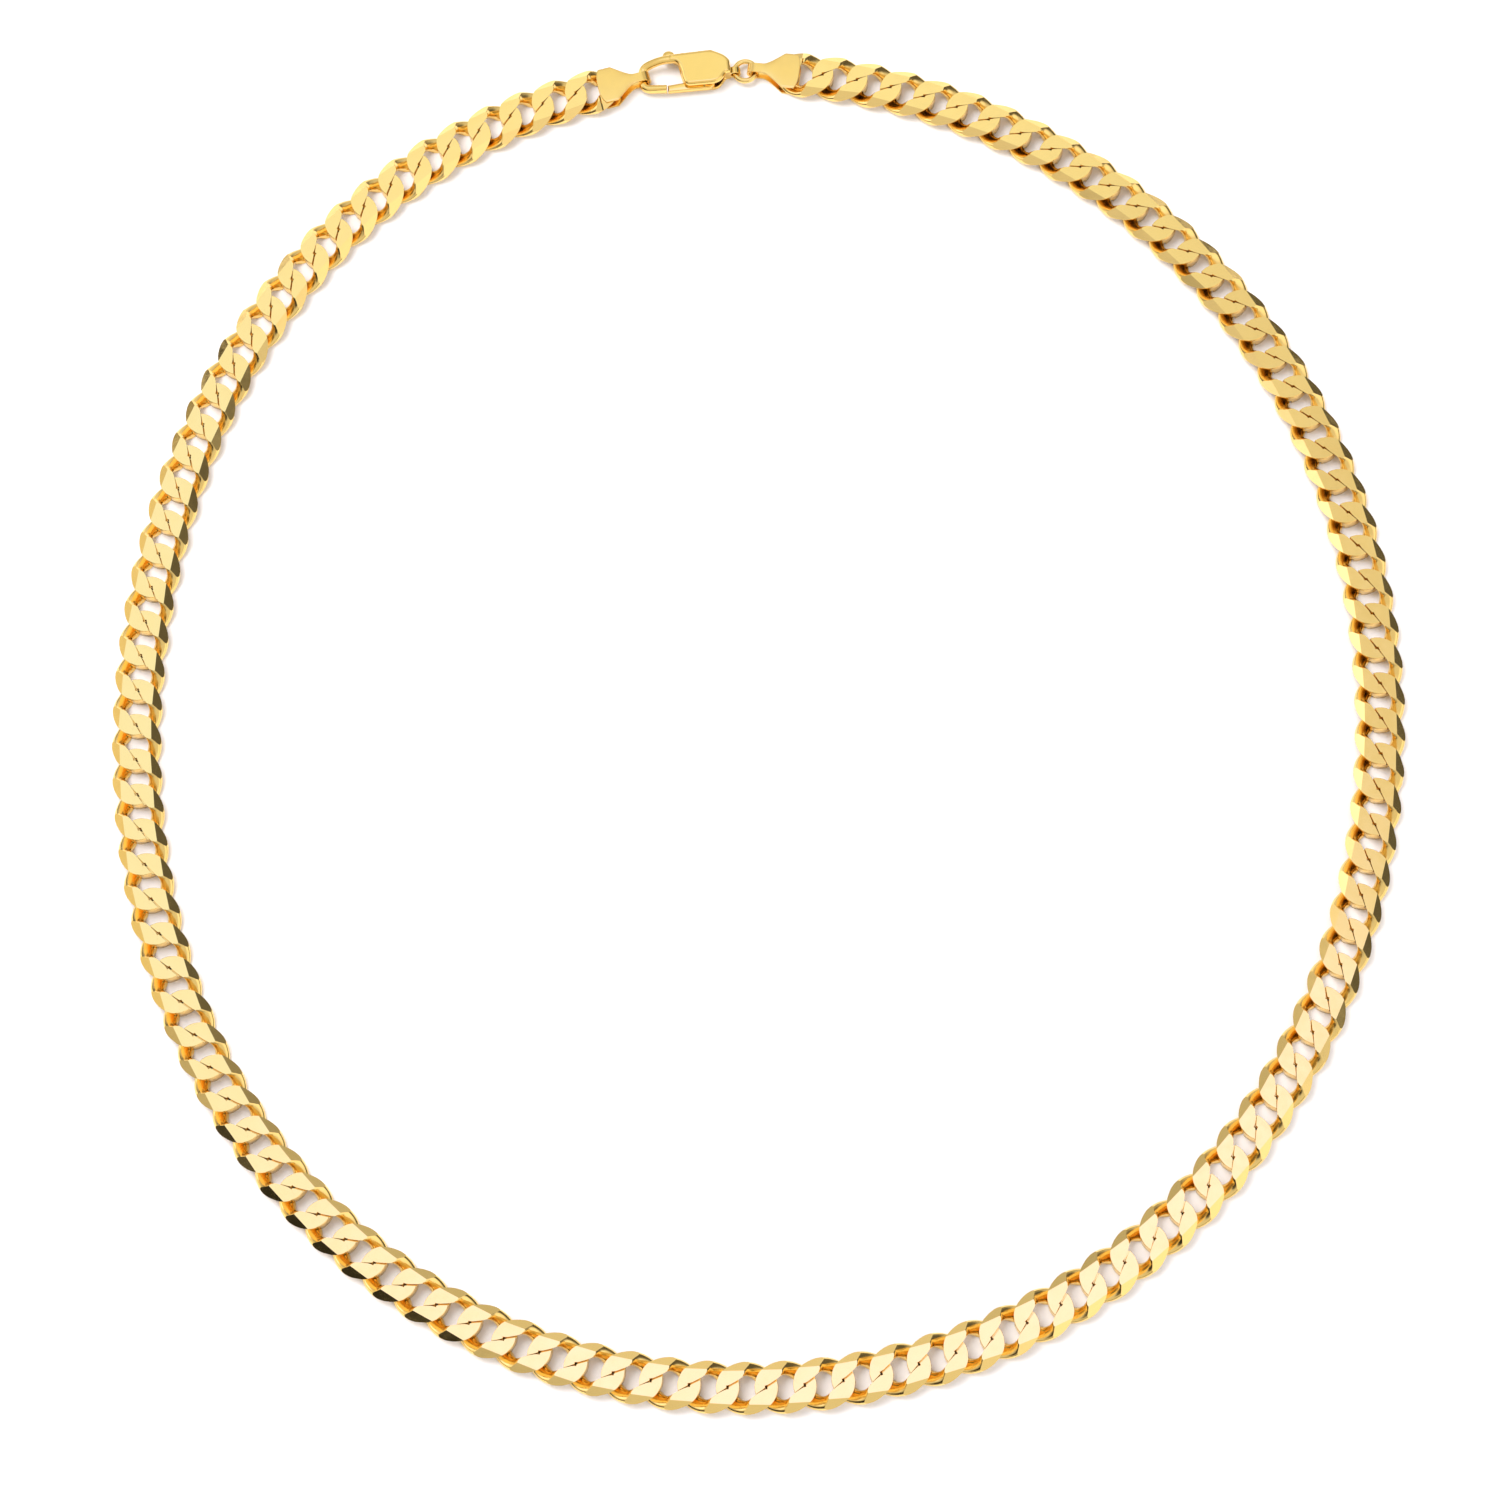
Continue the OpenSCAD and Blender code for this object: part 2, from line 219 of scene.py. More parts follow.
golds = {
    "lappedGold": {"color": (0.99, 0.715, 0.27), "deep": (0.97, 0.675, 0.23), "rough": (0.07, 0.16),
                   "lines": 0.35, "peel": 0.03},
    "wireGold": {"color": (0.98, 0.70, 0.26), "deep": (0.96, 0.65, 0.21), "rough": (0.10, 0.22),
                 "lines": 0.15, "peel": 0.10},
    "sheetGold": {"color": (0.96, 0.66, 0.22), "deep": (0.94, 0.62, 0.18), "rough": (0.14, 0.22),
                  "lines": 0.25, "peel": 0.05},
    "castGold": {"color": (0.96, 0.66, 0.21), "deep": (0.94, 0.62, 0.18), "rough": (0.08, 0.15),
                 "lines": 0.20, "peel": 0.04},
}
steel = {"color": (0.62, 0.61, 0.60), "deep": (0.50, 0.49, 0.48), "rough": (0.2, 0.32),
         "lines": 0.5, "peel": 0.1}


def noiseNode(tree, vector, scale, detail=3.0):
    node = tree.nodes.new("ShaderNodeTexNoise")
    node.inputs["Scale"].default_value = scale
    node.inputs["Detail"].default_value = detail
    link(tree, vector, node.inputs["Vector"])
    return node


def metal(name, look):
    material = bpy.data.materials.new(name)
    material.use_nodes = True
    tree = material.node_tree
    shader = tree.nodes["Principled BSDF"]
    shader.inputs["Metallic"].default_value = 1.0
    coords = tree.nodes.new("ShaderNodeTexCoord")
    place = coords.outputs["Object"]
    # tone drifts a little over a few millimetres
    drift = noiseNode(tree, place, 260, 2)
    tone, pale, deep, toned = colorMix(tree)
    pale.default_value = (*look["color"], 1)
    deep.default_value = (*look["deep"], 1)
    link(tree, drift.outputs["Fac"], tone.inputs["Factor"])
    link(tree, toned, shader.inputs["Base Color"])
    # polish: cloudy where fingers and cloth have dulled it
    cloud = noiseNode(tree, place, 900, 4)
    polish = tree.nodes.new("ShaderNodeMapRange")
    polish.inputs["From Min"].default_value = 0.3
    polish.inputs["From Max"].default_value = 0.7
    polish.inputs["To Min"].default_value = look["rough"][0]
    polish.inputs["To Max"].default_value = look["rough"][1]
    link(tree, cloud.outputs["Fac"], polish.inputs["Value"])
    link(tree, polish.outputs["Result"], shader.inputs["Roughness"])
    # hairline scratches: two stretched noises
    stretch = tree.nodes.new("ShaderNodeMapping")
    stretch.inputs["Scale"].default_value = (700, 16000, 700)
    stretch.inputs["Rotation"].default_value = (0, 0, math.radians(38))
    link(tree, place, stretch.inputs["Vector"])
    hair = noiseNode(tree, stretch.outputs[0], 1, 2)
    scratch = tree.nodes.new("ShaderNodeBump")
    scratch.inputs["Strength"].default_value = look["lines"]
    scratch.inputs["Distance"].default_value = 0.002 * mm
    link(tree, hair.outputs["Fac"], scratch.inputs["Height"])
    wave = noiseNode(tree, place, 1300, 2)
    peel = tree.nodes.new("ShaderNodeBump")
    peel.inputs["Strength"].default_value = look["peel"]
    peel.inputs["Distance"].default_value = 0.06 * mm
    link(tree, wave.outputs["Fac"], peel.inputs["Height"])
    link(tree, scratch.outputs["Normal"], peel.inputs["Normal"])
    link(tree, peel.outputs["Normal"], shader.inputs["Normal"])
    return material


def power(value, exponent):
    return math.copysign(abs(value) ** exponent, value)


def softOutline(corners, steps=8):
    # corners (x, y, r) rounded off over r to either side
    points = []
    count = len(corners)
    for i, (x, y, r) in enumerate(corners):
        here = Vector((x, y))
        if r == 0:
            points.append(here)
            continue
        before, after = Vector(corners[i - 1][:2]), Vector(corners[(i + 1) % count][:2])
        start = here + (before - here).normalized() * r
        end = here + (after - here).normalized() * r
        for k in range(steps + 1):
            t = k / steps
            points.append((1 - t) ** 2 * start + 2 * t * (1 - t) * here + t * t * end)
    return points


def insetOutline(points, amount):
    count = len(points)
    moved = []
    for i, here in enumerate(points):
        run = (points[(i + 1) % count] - points[i - 1]).normalized()
        moved.append(here + Vector((-run.y, run.x)) * amount)
    return moved


def addRings(bm, rings, closed, capped):
    # skin between rings of points, all with the same count
    rows = [[bm.verts.new(p) for p in ring] for ring in rings]
    count = len(rows[0])
    last = len(rows) if closed else len(rows) - 1
    for j in range(last):
        a, b = rows[j], rows[(j + 1) % len(rows)]
        for i in range(count):
            bm.faces.new((a[i], a[(i + 1) % count], b[(i + 1) % count], b[i]))
    if capped:
        bm.faces.new(rows[0][::-1])
        bm.faces.new(rows[-1])


def addSlab(bm, corners, low, high, edge=0.12, steps=4):
    # flat plate with rounded rims; the outline runs counter-clockwise
    outline = softOutline(corners)
    rims = [(edge * (1 - math.sin(math.pi / 2 * k / steps)), edge * (1 - math.cos(math.pi / 2 * k / steps)))
            for k in range(steps + 1)]
    rings = [(inset, low + rise) for inset, rise in rims]
    rings += [(inset, high - rise) for inset, rise in rims[::-1]]
    addRings(bm, [[(p.x, p.y, z) for p in insetOutline(outline, inset)] for inset, z in rings],
             closed=False, capped=True)


def finishMesh(bm, name, sharp=None):
    bmesh.ops.recalc_face_normals(bm, faces=bm.faces[:])
    mesh = bpy.data.meshes.new(name)
    bm.to_mesh(mesh)
    bm.free()
    mesh.shade_smooth()
    if sharp:
        mesh.set_sharp_from_angle(angle=math.radians(sharp))
    return mesh


def settle(piece):
    # the modifiers' result becomes the mesh
    bpy.context.view_layer.update()
    shaped = bpy.data.meshes.new_from_object(piece.evaluated_get(bpy.context.evaluated_depsgraph_get()))
    piece.modifiers.clear()
    piece.data = shaped
    return piece


def showPiece(name, mesh, body, node, slot, *materials):
    for material in materials:
        mesh.materials.append(material)
    piece = bpy.data.objects.new(name, mesh)
    bpy.context.scene.collection.objects.link(piece)
    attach(piece, body)
    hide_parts(node)
    return piece


linkShape = {
    "endWire": 1.3,  # width of the wire at the ends, mm
    "sideWire": 1.65,  # width of the wire along the sides
    "wireHeight": 1.4,
    "holePower": 1.4,  # draws the hole to a point at its ends
    "rise": 0.98,  # climb of the twist, mm
    "lean": 0.8,  # how far the wire's inner side leans over with the twist
    "squareness": 2.8,  # 2 is a round wire
    "noseGap": 0.2,  # between the flats of neighbouring links
    "noseEnd": 24,  # degrees round the end that the nose is full height
    "noseInset": 0.03,
    "noseFoot": -0.25,  # height where a nose starts, inside the wire
    "noseLow": 0.003,  # under the flat of the wire
    "edgeWear": 0.035,  # width of the wear along ground edges
    "wornAngle": 25,
    "flatHalfWidth": 1.92,
    "bevelFall": 0.7,
    "around": 96,
    "section": 20,
    "kinds": 9,  # differently ground links
    "flatTilt": 0.5,  # degrees either way
    "bevelTilt": 1.6,
    "capEye": 0.71,  # half height of an end link inside its cap
}


def planPoints(node):
    # every different plan position of a CAD node, in mm
    corners = set((round(v.co.x / mm, 3), round(v.co.y / mm, 3)) for v in frame["nodes"][node].data.vertices)
    return [Vector(c) for c in corners]


def longAxis(points):
    middle = sum(points, Vector((0, 0))) / len(points)
    xx = sum((p.x - middle.x) ** 2 for p in points)
    yy = sum((p.y - middle.y) ** 2 for p in points)
    xy = sum((p.x - middle.x) * (p.y - middle.y) for p in points)
    turn = math.atan2(2 * xy, xx - yy) / 2
    return middle, Vector((math.cos(turn), math.sin(turn)))


def linksIn(node):
    # plan middle, long axis and plan points of each link, from the separate solids in the CAD node
    bm = bmesh.new()
    bm.from_mesh(frame["nodes"][node].data)
    bmesh.ops.remove_doubles(bm, verts=bm.verts[:], dist=0.0005 * mm)
    left, found = set(bm.verts), []
    while left:
        island, edge = set(), [left.pop()]
        while edge:
            vert = edge.pop()
            island.add(vert)
            for other in (e.other_vert(vert) for e in vert.link_edges):
                if other in left:
                    left.discard(other)
                    edge.append(other)
        plan = [Vector(p) for p in set((round(v.co.x / mm, 3), round(v.co.y / mm, 3)) for v in island)]
        found.append((*longAxis(plan), plan))
    bm.free()
    return found


def cutFacet(bm, ground, point, normal):
    # grinds away what is beyond a plane and closes it with a flat facet
    cut = bmesh.ops.bisect_plane(bm, geom=bm.verts[:] + bm.edges[:] + bm.faces[:], dist=1e-5,
                                 plane_co=point, plane_no=normal, clear_outer=True)
    rim = [e for e in cut["geom_cut"] if isinstance(e, bmesh.types.BMEdge) and e.is_boundary]
    for face in bmesh.ops.edgeloop_fill(bm, edges=rim)["faces"]:
        face[ground] = 1


def tilted(normal, degrees):
    # the lap is never held quite the same way twice
    off = Vector((random.uniform(-1, 1), random.uniform(-1, 1), 0)) * math.tan(math.radians(degrees))
    return (Vector(normal) + off).normalized()


def innerEdge(t, holeHalf):
    return Vector((holeHalf[0] * power(math.cos(t), linkShape["holePower"]),
                   holeHalf[1] * power(math.sin(t), linkShape["holePower"])))


def leanAt(y, z, holeHalf):
    return linkShape["lean"] * y * z * max(0.0, 1 - (y / holeHalf[1]) ** 2)


def noseOutline(half, holeHalf, middleZ, pitch):
    # the stretch of a link's end that stands to full height beside its neighbour, seen from above
    steps, gap, inset = 14, linkShape["noseGap"], linkShape["noseInset"]
    beside = []
    for k in range(steps + 1):
        t = math.radians(60) * k / steps
        edge = innerEdge(t, holeHalf)
        x = pitch - edge.x - leanAt(-edge.y, middleZ, holeHalf) + gap
        if (x / (half[0] - inset)) ** 2 + (edge.y / (half[1] - inset)) ** 2 >= 1:
            break
        beside.append((x, edge.y))
    start = math.asin(min(1, beside[-1][1] / half[1]))
    low = -math.radians(linkShape["noseEnd"])
    rim = []
    for k in range(steps + 1):
        t = start + (low - start) * k / steps
        rim.append(((half[0] - inset) * math.cos(t), (half[1] - inset) * math.sin(t)))
    back = innerEdge(low, holeHalf)
    own = (back.x + 0.35, back.y)
    return (beside + rim + [own])[::-1]


def linkSweep(half, holeHalf):
    shape = linkShape
    bm = bmesh.new()
    rings = []
    for j in range(shape["around"]):
        t = 2 * math.pi * j / shape["around"]
        inner = innerEdge(t, holeHalf)
        outer = Vector((half[0] * math.cos(t), half[1] * math.sin(t)))
        ring = []
        for i in range(shape["section"]):
            s = 2 * math.pi * i / shape["section"]
            across = (1 + power(math.cos(s), 2 / shape["squareness"])) / 2
            z = (power(math.sin(s), 2 / shape["squareness"]) * shape["wireHeight"] / 2
                 - shape["rise"] * math.sin(2 * t))
            place = inner + (outer - inner) * across
            ring.append((place.x + leanAt(place.y, z, holeHalf) * (1 - across), place.y, z))
        rings.append(ring)
    addRings(bm, rings, closed=True, capped=False)
    return bm


def linkNose(half, holeHalf, middleZ, pitch, turn, over):
    # closes the step at one end of the link, above or below, up to its neighbour's flat
    bm = bmesh.new()
    outline = noseOutline(half, holeHalf, middleZ, pitch)
    levels = (linkShape["noseFoot"], middleZ + 0.3)
    addRings(bm, [[(x, y, z) for x, y in outline] for z in levels], closed=False, capped=True)
    place = Matrix.Rotation(turn, 4, "Z") @ Matrix.Rotation(over, 4, "X")
    bmesh.ops.transform(bm, matrix=place, verts=bm.verts[:])
    return bm


def lapPlanes(half, middleZ):
    # the flats and bevels of one link, each a little off true
    shape, planes = linkShape, []
    for up in (1, -1):
        lean = tilted((0, 0, up), shape["flatTilt"])
        # lowered so that no corner stands over the nominal thickness
        drop = half[0] * abs(lean.x) + shape["flatHalfWidth"] * abs(lean.y)
        planes.append((Vector((0, 0, up * (middleZ - drop))), lean))
        for side in (1, -1):
            slope = tilted(Vector((0, side * shape["bevelFall"], up)).normalized(), shape["bevelTilt"])
            planes.append((Vector((0, side * shape["flatHalfWidth"], up * middleZ)), slope))
    return planes


def wearEdges(bm, ground):
    # takes the crispness off the ground edges
    rims = [e for e in bm.edges if len(e.link_faces) == 2 and any(f[ground] for f in e.link_faces)
            and e.calc_face_angle(0) > math.radians(linkShape["wornAngle"])]
    worn = bmesh.ops.bevel(bm, geom=rims, offset=linkShape["edgeWear"], offset_type="OFFSET", segments=2,
                           profile=0.5, affect="EDGES", clamp_overlap=True)
    for face in worn["faces"]:
        face[ground] = 0


def groundLink(half, middleZ, pitch):
    # the bent wire and its four noses, all ground to the same planes
    holeHalf = (half[0] - linkShape["endWire"], half[1] - linkShape["sideWire"])
    parts = [(linkSweep(half, holeHalf), 0.0)]
    for turn in (0, math.pi):
        for over in (0, math.pi):
            parts.append((linkNose(half, holeHalf, middleZ, pitch, turn, over), linkShape["noseLow"]))
    planes = lapPlanes(half, middleZ)
    whole = bmesh.new()
    whole.faces.layers.int.new("ground")
    for bm, lower in parts:
        ground = bm.faces.layers.int.new("ground")
        for point, normal in planes:
            cutFacet(bm, ground, point - normal * lower, normal)
        wearEdges(bm, ground)
        bmesh.ops.recalc_face_normals(bm, faces=bm.faces[:])
        mesh = bpy.data.meshes.new("linkPart")
        bm.to_mesh(mesh)
        bm.free()
        whole.from_mesh(mesh)
    return whole, whole.faces.layers.int["ground"]


def linkMesh(name, half, middleZ, pitch, capSide=0):
    bm, ground = groundLink(half, middleZ, pitch)
    if capSide:
        for step in (capShape["gap"] - 0.25, capShape["gap"] - 0.05):
            bmesh.ops.bisect_plane(bm, geom=bm.verts[:] + bm.edges[:] + bm.faces[:], dist=1e-5,
                                   plane_co=(capSide * step, 0, 0), plane_no=(1, 0, 0))
        for vert in bm.verts:
            if vert.co.x * capSide > capShape["gap"] - 0.1:
                vert.co.z = max(-linkShape["capEye"], min(linkShape["capEye"], vert.co.z))
    bmesh.ops.recalc_face_normals(bm, faces=bm.faces[:])
    for face in bm.faces:
        face.smooth = not face[ground]
        face.material_index = face[ground]
    for edge in bm.edges:
        besideGround = any(f[ground] for f in edge.link_faces)
        edge.smooth = not besideGround and edge.calc_face_angle(0) < math.radians(50)
    mesh = bpy.data.meshes.new(name)
    bm.to_mesh(mesh)
    bm.free()
    return mesh


def joined(name, placed):
    # one mesh from several, each with its own placing
    bm = bmesh.new()
    for mesh, place in placed:
        before = len(bm.verts)
        bm.from_mesh(mesh)
        bm.verts.ensure_lookup_table()
        bmesh.ops.transform(bm, matrix=place, verts=bm.verts[before:])
    mesh = bpy.data.meshes.new(name)
    bm.to_mesh(mesh)
    bm.free()
    return mesh


def placing(plan, axis, z):
    turn = Matrix(((axis.x, -axis.y, 0), (axis.y, axis.x, 0), (0, 0, 1))).to_4x4()
    return Matrix.Scale(mm, 4) @ Matrix.Translation((plan.x, plan.y, z)) @ turn


def bodyOf(node):
    return frame["nodes"][node]["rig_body"]


def makeChain(wire, lapped):
    low, high = (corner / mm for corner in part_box("chain_front"))
    midZ, middleZ = (low.z + high.z) / 2, (high.z - low.z) / 2
    plan, axis, ownPoints = linksIn("chain_front")[0]
    # half sizes from one plain link of the CAD chain
    own = [p - plan for p in ownPoints]
    across = Vector((-axis.y, axis.x))
    half = [max(p.dot(way) for p in own) - 0.002 for way in (axis, across)]
    pitch = sorted((plan - other).length for other, way, points in linksIn("chain_front"))[1]
    kinds = [linkMesh(f"groundLink{n}", half, middleZ, pitch) for n in range(linkShape["kinds"])]
    chainNodes = sorted(n for n in frame["nodes"] if n.startswith("chain_"))
    for node in chainNodes:
        placed = []
        for plan, axis, points in linksIn(node):
            mesh = random.choice(kinds)
            cap = endCapBeside(plan)
            if cap:  # the last link on each side is ground to fit its cap
                axis, plan = cap["axis"], cap["edge"] + cap["axis"] * capShape["gap"]
                mesh = linkMesh("endLink", half, middleZ, pitch, capSide=-1)
            placed.append((mesh, placing(plan, axis, midZ)))
        piece = showPiece("links_" + node[6:], joined("links_" + node[6:], placed), bodyOf(node), node,
                          "chain_gold", wire, lapped)
    print("links made:", len(chainNodes), "pieces")


capShape = {
    "reach": 6.6,  # mm from the middle of the end link to the eye
    "gap": 0.75,  # mm from the middle of the end link to the broad edge
    "neck": 1.25,
    "width": 4.75,
    "sheet": 0.28,
    "eye": 0.71,  # inner radius of the folded eye
    "neckLength": 1.1,
    "taperEnd": 3.75,
    "bulge": 0.5,  # how far the broad edge stands out in the middle
    "crown": 0.07,
    "columns": 20,
    "rows": 34,
}


def capPlace(node):
    # the cap's axis points from its eye to its broad edge
    middle, axis = longAxis(planPoints(node))
    low, high = (f((p - middle).dot(axis) for p in planPoints(node)) for f in (min, max))
    near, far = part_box("chain_" + node[8:] + "_1")
    linkSide = Vector(near.xy + far.xy) / 2 / mm
    if (linkSide - middle).dot(axis) < 0:
        axis, high = -axis, -low
    edge = middle + axis * high
    return {"axis": axis, "edge": edge, "eye": edge - axis * (capShape["reach"] - capShape["gap"])}


def endCapBeside(plan):
    for node in ("end_cap_right", "end_cap_left"):
        cap = capPlace(node)
        if (cap["edge"] + cap["axis"] * capShape["gap"] - plan).length < 1.0:
            return cap
    return None


def capHalfWidth(x):
    neck, wide = capShape["neck"] / 2, capShape["width"] / 2
    t = max(0.0, min(1.0, (x - capShape["neckLength"]) / (capShape["taperEnd"] - capShape["neckLength"])))
    return neck + (wide - neck) * (t ** 1.55 * (1.35 - 0.35 * t))


def makeCap(side, sheetGold):
    node = "end_cap_" + side
    place = capPlace(node)
    low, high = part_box(node)
    midZ = (low.z + high.z) / 2 / mm
    length = capShape["reach"] - capShape["gap"]
    leafZ = capShape["eye"] + capShape["sheet"] / 2  # middle of the sheet
    bm = bmesh.new()
    grid = []
    rows, columns, bendRows = capShape["rows"], capShape["columns"], 12
    for leaf in (1, -1):
        stations = range(rows, 0, -1) if leaf == 1 else range(1, rows + 1)
        if leaf == -1:  # fold round the eye
            for k in range(bendRows + 1):
                turn = math.pi / 2 + math.pi * k / bendRows
                grid.append([(leafZ * math.cos(turn), capShape["neck"] * (c / columns - 0.5),
                              leafZ * math.sin(turn)) for c in range(columns + 1)])
        for n in stations:
            row = []
            for c in range(columns + 1):
                v = 2 * c / columns - 1
                reach = length - capShape["bulge"] * abs(v) ** 3.2
                x = reach * n / rows
                width = capHalfWidth(x)
                crown = capShape["crown"] * (1 - v * v) * min(1, x / 2.5) if leaf == 1 else 0
                row.append((x, v * width, leaf * leafZ + crown))
            grid.append(row)
    verts = [[bm.verts.new(p) for p in row] for row in grid]
    for a, b in zip(verts, verts[1:]):
        for i in range(columns):
            bm.faces.new((a[i], a[i + 1], b[i + 1], b[i]))
    bmesh.ops.transform(bm, matrix=placing(place["eye"], place["axis"], midZ), verts=bm.verts[:])
    mesh = finishMesh(bm, "foldedCap_" + side)
    piece = showPiece("foldedCap_" + side, mesh, bodyOf(node), node, "clasp_gold", sheetGold)
    sheet = piece.modifiers.new("sheet", "SOLIDIFY")
    sheet.thickness, sheet.offset, sheet.use_even_offset = capShape["sheet"] * mm, 0, True
    rim = piece.modifiers.new("rim", "BEVEL")
    rim.width, rim.segments, rim.limit_method, rim.angle_limit = 0.05 * mm, 3, "ANGLE", math.radians(50)
    settle(piece)
    piece.data.set_sharp_from_angle(angle=math.radians(60))
    return place


ringShape = {"wire": 0.7, "radius": 1.37, "around": 96, "section": 28, "solder": 0.05}


def makeRing(wireGold):
    low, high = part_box("jump_ring")
    middle = (low + high) / 2 / mm
    bm = bmesh.new()
    rings = []
    for j in range(ringShape["around"]):
        t = 2 * math.pi * j / ringShape["around"]
        # a small solder swell where the wire was closed
        swell = 1 + ringShape["solder"] * math.exp(-((j - 70) / 2.2) ** 2)
        radius = (ringShape["wire"] / 2 - 0.01) * min(swell, 1.03)
        ring = []
        for i in range(ringShape["section"]):
            s = 2 * math.pi * i / ringShape["section"]
            out = ringShape["radius"] + radius * math.cos(s)
            ring.append((out * math.cos(t), out * math.sin(t), radius * math.sin(s)))
        rings.append(ring)
    addRings(bm, rings, closed=True, capped=False)
    place = Matrix.Scale(mm, 4) @ Matrix.Translation(middle)
    bmesh.ops.transform(bm, matrix=place, verts=bm.verts[:])
    showPiece("solderedRing", finishMesh(bm, "solderedRing"), bodyOf("jump_ring"), "jump_ring",
              "clasp_gold", wireGold)
    return middle


claspShape = {
    "plate": 0.5,
    "paddleDepth": 0.9,  # plate and turned-down rim
    "margin": 0.006,  # kept free inside the clasp's thickness
    "tailRadius": 0.78,
    "tailHole": 0.51,
    "tailWidth": 0.9,
    "voxel": 0.055,
    "smooth": 5,
}
# outlines: x from the tail eye to the hook's tip, y towards the hook's back, and the corner's softness
paddle = [(0.5, -0.45, 0.0), (1.05, -0.55, 0.25), (1.7, -1.45, 0.5), (2.6, -1.85, 0.55), (6.35, -1.9, 0.6),
          (6.75, -0.7, 0.6), (6.85, 0.5, 0.6), (7.45, 1.72, 0.7), (8.3, 1.62, 0.2), (8.3, 2.62, 0.2),
          (2.7, 2.88, 0.9), (1.1, 2.0, 0.55), (0.5, 1.25, 0.3), (0.5, 0.45, 0.0)]
underPlate = [(0.55, -0.45, 0.0), (1.1, -0.45, 0.25), (2.2, -1.85, 0.7), (6.4, -1.85, 0.5), (6.95, 0.3, 0.6),
              (7.2, 1.75, 0.2), (7.2, 2.7, 0.3), (2.6, 2.85, 0.9), (1.2, 1.65, 0.5), (0.55, 0.45, 0.0)]
tailBlock = [(0.55, -0.45, 0.0), (1.5, -0.45, 0.15), (1.9, 1.4, 0.3), (3.2, 1.9, 0.3), (3.2, 2.78, 0.2),
             (2.7, 2.8, 0.3), (1.25, 1.55, 0.4), (0.55, 0.45, 0.0)]
backWall = [(2.8, 2.45, 0.1), (7.6, 2.25, 0.1), (7.6, 2.6, 0.1), (2.8, 2.82, 0.1)]
# down the hook's back, round its tip and back to the gate: x, y, z, width, height
hookRoute = [(6.7, 2.1, 1.88, 1.15, 0.95), (8.0, 2.1, 1.86, 1.1, 0.98), (9.2, 2.05, 1.78, 1.08, 1.0),
             (10.25, 1.88, 1.55, 1.08, 1.05), (11.2, 1.62, 1.25, 1.1, 1.1), (11.72, 1.2, 1.05, 1.1, 1.1),
             (11.85, 0.6, 1.0, 1.1, 1.1), (11.85, 0.0, 1.0, 1.1, 1.1), (11.85, -0.6, 1.0, 1.1, 1.1),
             (11.72, -1.1, 1.02, 1.08, 1.1), (11.2, -1.48, 1.05, 1.05, 1.15),
             (10.25, -1.62, 1.1, 1.0, 1.25), (9.4, -1.7, 1.13, 0.95, 1.35), (8.82, -1.75, 1.15, 0.95, 1.4)]


def smoothRoute(route, steps=5):
    # passes through every point of the route
    points = []
    for i in range(len(route) - 1):
        a, b = route[max(i - 1, 0)], route[i]
        c, d = route[i + 1], route[min(i + 2, len(route) - 1)]
        for k in range(steps):
            t = k / steps
            points.append([0.5 * (2 * q + (r - p) * t + (2 * p - 5 * q + 4 * r - s) * t * t
                                  + (3 * q - p - 3 * r + s) * t ** 3) for p, q, r, s in zip(a, b, c, d)])
    points.append(list(route[-1]))
    return points


def addBar(bm, route, sides=24, squareness=2.4):
    points = smoothRoute(route)
    rings = []
    for i, (x, y, z, width, height) in enumerate(points):
        before, after = points[max(i - 1, 0)], points[min(i + 1, len(points) - 1)]
        run = Vector((after[0] - before[0], after[1] - before[1])).normalized()
        ring = []
        for k in range(sides):
            s = 2 * math.pi * k / sides
            out = power(math.cos(s), 2 / squareness) * width / 2
            up = power(math.sin(s), 2 / squareness) * height / 2
            ring.append((x - run.y * out, y + run.x * out, z + up))
        rings.append(ring)
    addRings(bm, rings, closed=False, capped=True)


def addTailEye(bm, midZ, sides=40):
    # a short tube across the tail, for the jump ring
    wall = ((claspShape["tailHole"], -0.5), (claspShape["tailRadius"], -0.5),
            (claspShape["tailRadius"], 0.5), (claspShape["tailHole"], 0.5))
    rings = []
    for k in range(sides):
        t = 2 * math.pi * k / sides
        rings.append([(r * math.cos(t), w * claspShape["tailWidth"], midZ + r * math.sin(t))
                      for r, w in wall])
    addRings(bm, rings, closed=True, capped=False)


def claspPlace(ringMiddle, leftEye):
    ahead = (leftEye - ringMiddle.xy).normalized()
    tail = ringMiddle.xy + ahead * ringShape["radius"]
    # the clasp lies with the hook's back on the far side, so its own y is turned over
    turn = Matrix(((ahead.x, ahead.y, 0), (ahead.y, -ahead.x, 0), (0, 0, 1))).to_4x4()
    return Matrix.Scale(mm, 4) @ Matrix.Translation((tail.x, tail.y, 0)) @ turn


def fuse(piece, voxel, smooth):
    # melts overlapping solids into one casting with soft inner corners
    melt = piece.modifiers.new("melt", "REMESH")
    melt.mode, melt.voxel_size, melt.use_smooth_shade = "VOXEL", voxel * mm, True
    soften = piece.modifiers.new("soften", "SMOOTH")
    soften.factor, soften.iterations = 0.5, smooth
    settle(piece)
    piece.data.shade_smooth()


